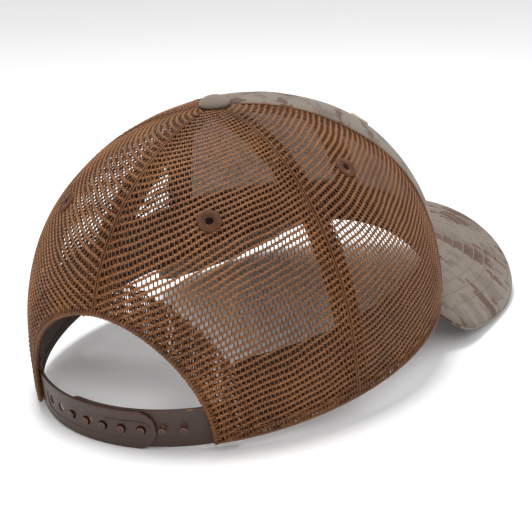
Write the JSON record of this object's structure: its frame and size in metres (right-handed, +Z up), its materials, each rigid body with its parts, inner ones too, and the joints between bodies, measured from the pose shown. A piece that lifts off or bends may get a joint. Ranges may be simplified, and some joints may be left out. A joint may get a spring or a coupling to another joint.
{
  "type": "trucker cap",
  "caption": "Six-panel trucker cap: camouflage twill front and curved bill, brown net sides and back, arched rear opening closed by a moulded snap strap.",
  "frame": {"origin": "bottom centre of the cap's box, as it stands on a table on its bill sides and strap", "axes": "+Z up, bill towards -Y, the wearer's left towards +X; the rim is tilted nose up by 6.9 degrees about X"},
  "size_m": [0.1636, 0.276, 0.1148],
  "materials": {
    "camo_twill": "cotton twill with a blocky desert camouflage print",
    "mesh": "open knitted polyester net, brown, slight sheen",
    "buckram": "stiff open-weave backing, off-white",
    "seam_tape": "narrow woven binding tape, brown",
    "sweatband": "soft brushed twill band, dark brown",
    "bill_board": "matt polyethylene board",
    "button_metal": "stamped, dull",
    "eyelet_brown": "dense satin stitch, brown thread",
    "eyelet_tan": "dense satin stitch, tan thread",
    "strap_plastic": "soft moulded plastic, fine satin texture"
  },
  "bodies": {
    "root": {"front_panel_left": "camo_twill", "buckram_left": "buckram", "side_mesh_left": "mesh", "rear_mesh_left": "mesh", "arch_facing_left": "mesh", "front_panel_right": "camo_twill", "buckram_right": "buckram", "side_mesh_right": "mesh", "rear_mesh_right": "mesh", "arch_facing_right": "mesh", "back_seam_tape": "seam_tape", "rear_right_seam_tape": "seam_tape", "rear_left_seam_tape": "seam_tape", "front_right_seam_tape": "seam_tape", "front_left_seam_tape": "seam_tape", "front_seam_tape": "seam_tape", "sweatband": "sweatband", "bill_top_cover": "camo_twill", "bill_under_cover": "camo_twill", "bill_board": "bill_board", "button_cover": "camo_twill", "button_shell": "button_metal", "button_post": "button_metal", "button_back": "button_metal", "eyelet_rear_left": "eyelet_brown", "eyelet_rear_right": "eyelet_brown", "eyelet_side_left": "eyelet_brown", "eyelet_side_right": "eyelet_brown", "eyelet_front_left": "eyelet_tan", "eyelet_front_right": "eyelet_tan", "hole_strap_tab": "strap_plastic", "peg_strap_tab": "strap_plastic"},
    "hole_strap": {"hole_strap": "strap_plastic"},
    "peg_strap": {"peg_strap": "strap_plastic"}
  },
  "joints": [
    {"name": "hole_strap_swing", "type": "hinge", "parent": "root", "child": "hole_strap", "pos_m": [0.03616, 0.12473, 0.00894], "axis": [0, -0.1201, -0.9928], "range_deg": [0, 75], "stiffness_Nm_per_rad": 0.02},
    {"name": "peg_strap_swing", "type": "hinge", "parent": "root", "child": "peg_strap", "pos_m": [-0.03616, 0.12274, 0.00918], "axis": [0, -0.1201, -0.9928], "range_deg": [0, 45], "stiffness_Nm_per_rad": 0.02}
  ]
}
